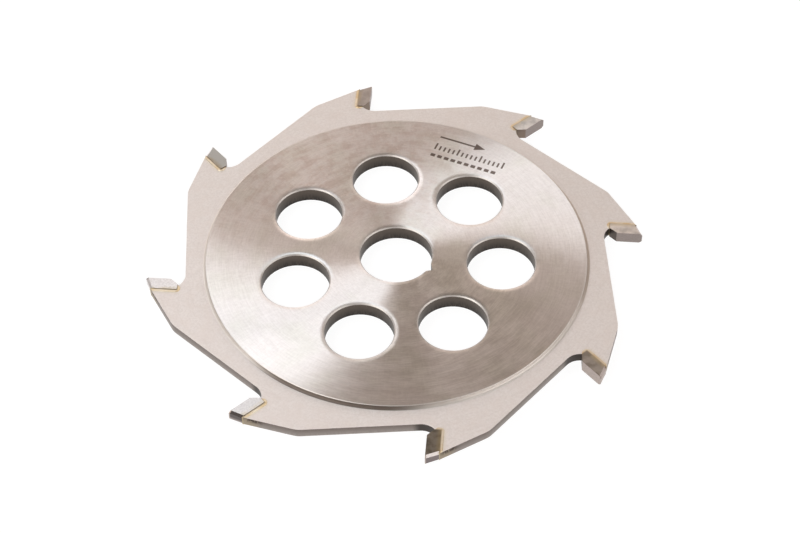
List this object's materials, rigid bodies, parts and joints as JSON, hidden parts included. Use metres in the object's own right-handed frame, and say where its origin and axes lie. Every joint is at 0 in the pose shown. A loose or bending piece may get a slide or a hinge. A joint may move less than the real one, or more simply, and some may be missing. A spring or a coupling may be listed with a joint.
{
  "type": "grooving saw blade",
  "caption": "Small circular blade for cutting grooves: a steel body with a thick drilled hub, a thin rim with hooked teeth, and carbide tips brazed into their seats.",
  "frame": {"origin": "centre of the bore at half the hub's thickness", "axes": "+Z along the bore; seen from +Z the blade turns clockwise"},
  "size_m": [0.1096, 0.1096, 0.0038],
  "materials": {
    "body_steel": "hub finely ground in rings, rim matt and warm grey",
    "carbide": "ground sintered carbide, silky grey",
    "braze": "dull golden silver-braze metal"
  },
  "bodies": {
    "root": {"blade_body": "body_steel", "carbide_tip_1": "carbide", "carbide_tip_2": "carbide", "carbide_tip_3": "carbide", "carbide_tip_4": "carbide", "carbide_tip_5": "carbide", "carbide_tip_6": "carbide", "carbide_tip_7": "carbide", "carbide_tip_8": "carbide", "braze_1": "braze", "braze_2": "braze", "braze_3": "braze", "braze_4": "braze", "braze_5": "braze", "braze_6": "braze", "braze_7": "braze", "braze_8": "braze"}
  },
  "joints": []
}
